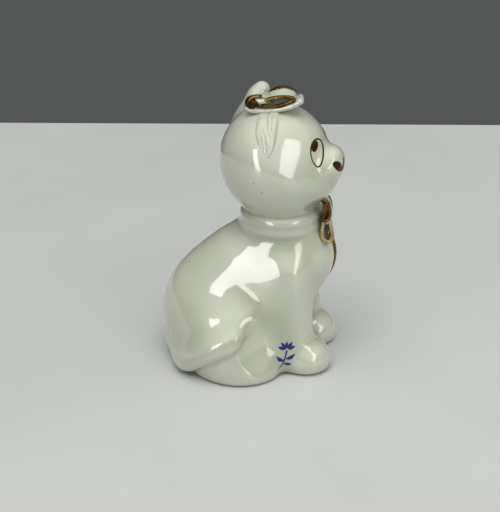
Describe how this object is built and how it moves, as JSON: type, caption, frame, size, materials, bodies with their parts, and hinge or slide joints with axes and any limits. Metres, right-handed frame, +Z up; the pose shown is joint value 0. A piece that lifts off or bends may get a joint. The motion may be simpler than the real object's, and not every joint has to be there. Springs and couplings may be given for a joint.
{
  "type": "seated animal figurine",
  "caption": "Seated young animal in glazed cream porcelain with gilded ribbon bows on the head and neck, round head, short muzzle and a tail curled round the haunch.",
  "frame": {"origin": "middle of the foot on the table, under the middle of the whole figurine", "axes": "+Z up, the animal faces -Y, its left side is +X"},
  "size_m": [0.048, 0.0522, 0.0803],
  "materials": {
    "glaze": "gloss cream glaze over porcelain",
    "gilt": "burnished gold lustre over glaze"
  },
  "bodies": {
    "root": {"body_casting": "glaze", "right_foreleg": "glaze", "left_foreleg": "glaze", "tail": "glaze", "head_casting": "glaze", "left_ear": "glaze", "right_ear": "glaze", "neck_ribbon": "glaze", "neck_bow_right_loop": "glaze", "neck_bow_left_loop": "glaze", "neck_bow_knot": "gilt", "neck_bow_right_end": "gilt", "neck_bow_left_end": "glaze", "head_bow_front_loop": "glaze", "head_bow_rear_loop": "glaze", "head_bow_knot": "glaze", "head_bow_front_end": "glaze", "head_bow_rear_end": "glaze"}
  },
  "joints": []
}
